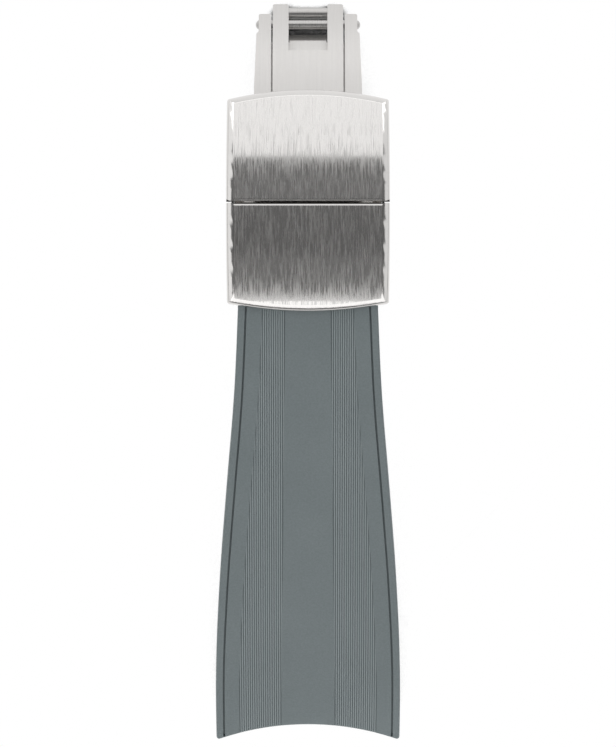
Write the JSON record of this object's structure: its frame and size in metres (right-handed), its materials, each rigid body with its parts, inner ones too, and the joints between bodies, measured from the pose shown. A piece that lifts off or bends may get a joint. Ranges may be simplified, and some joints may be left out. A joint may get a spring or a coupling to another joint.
{
  "type": "rubber dive strap",
  "caption": "Flared rubber watch strap half with hollowed lug end, ribbed recesses and a closed steel fold-over clasp with safety flap.",
  "frame": {"origin": "middle of the lug bore's axis", "axes": "+X along the lug bore, across the strap; +Y from the lug end to the clasp; +Z away from the table that the strap and the folded blades stand on, like an arch"},
  "size_m": [0.0216, 0.0871, 0.022],
  "materials": {
    "strap_rubber": "matte moulded",
    "cover_steel": "brushed along the strap, with polished bevels",
    "blade_steel": "bead blasted",
    "pin_steel": "turned"
  },
  "bodies": {
    "strap": {"rubber_strap": "strap_rubber", "strap_bar_tube": "pin_steel", "strap_bar_spring": "pin_steel"},
    "bar_tip_left": {"strap_bar_tip_left": "pin_steel"},
    "bar_tip_right": {"strap_bar_tip_right": "pin_steel"},
    "inner_blade": {"inner_blade": "blade_steel", "catch_bar": "pin_steel", "blade_hinge_pin": "pin_steel"},
    "middle_blade": {"middle_blade": "blade_steel", "stop_bar": "pin_steel"},
    "cover": {"clasp_cover": "cover_steel", "cover_hinge_pin": "pin_steel", "latch_spring": "pin_steel", "latch_rivets": "pin_steel", "flap_hinge_pin_left": "pin_steel", "flap_hinge_pin_right": "pin_steel"},
    "flap": {"safety_flap": "cover_steel"}
  },
  "joints": [
    {"name": "strap_pivot", "type": "hinge", "parent": "strap", "child": "inner_blade", "pos_m": [0, 0.05047, 0.01348], "axis": [-1, 0, 0], "range_deg": [0, 30]},
    {"name": "blade_fold", "type": "hinge", "parent": "inner_blade", "child": "middle_blade", "pos_m": [0, 0.07975, -0.00206], "axis": [-1, 0, 0], "range_deg": [0, 110]},
    {"name": "cover_fold", "type": "hinge", "parent": "middle_blade", "child": "cover", "pos_m": [0, 0.05664, 0.01338], "axis": [1, 0, 0], "range_deg": [0, 95.75]},
    {"name": "flap_hinge", "type": "hinge", "parent": "cover", "child": "flap", "pos_m": [0, 0.05995, 0.01531], "axis": [-1, 0, 0], "range_deg": [0, 90]},
    {"name": "bar_tip_left_slide", "type": "slide", "parent": "strap", "child": "bar_tip_left", "axis": [1, 0, 0], "range_m": [0, 0.0012], "stiffness_N_per_m": 200, "springref_m": -0.001, "deforming": ["strap_bar_spring"]},
    {"name": "bar_tip_right_slide", "type": "slide", "parent": "strap", "child": "bar_tip_right", "axis": [-1, 0, 0], "range_m": [0, 0.0012], "stiffness_N_per_m": 200, "springref_m": -0.001, "deforming": ["strap_bar_spring"]}
  ],
  "couplings": [
    {"joint": "cover_fold", "follows": "blade_fold", "ratio": 0.87}
  ]
}
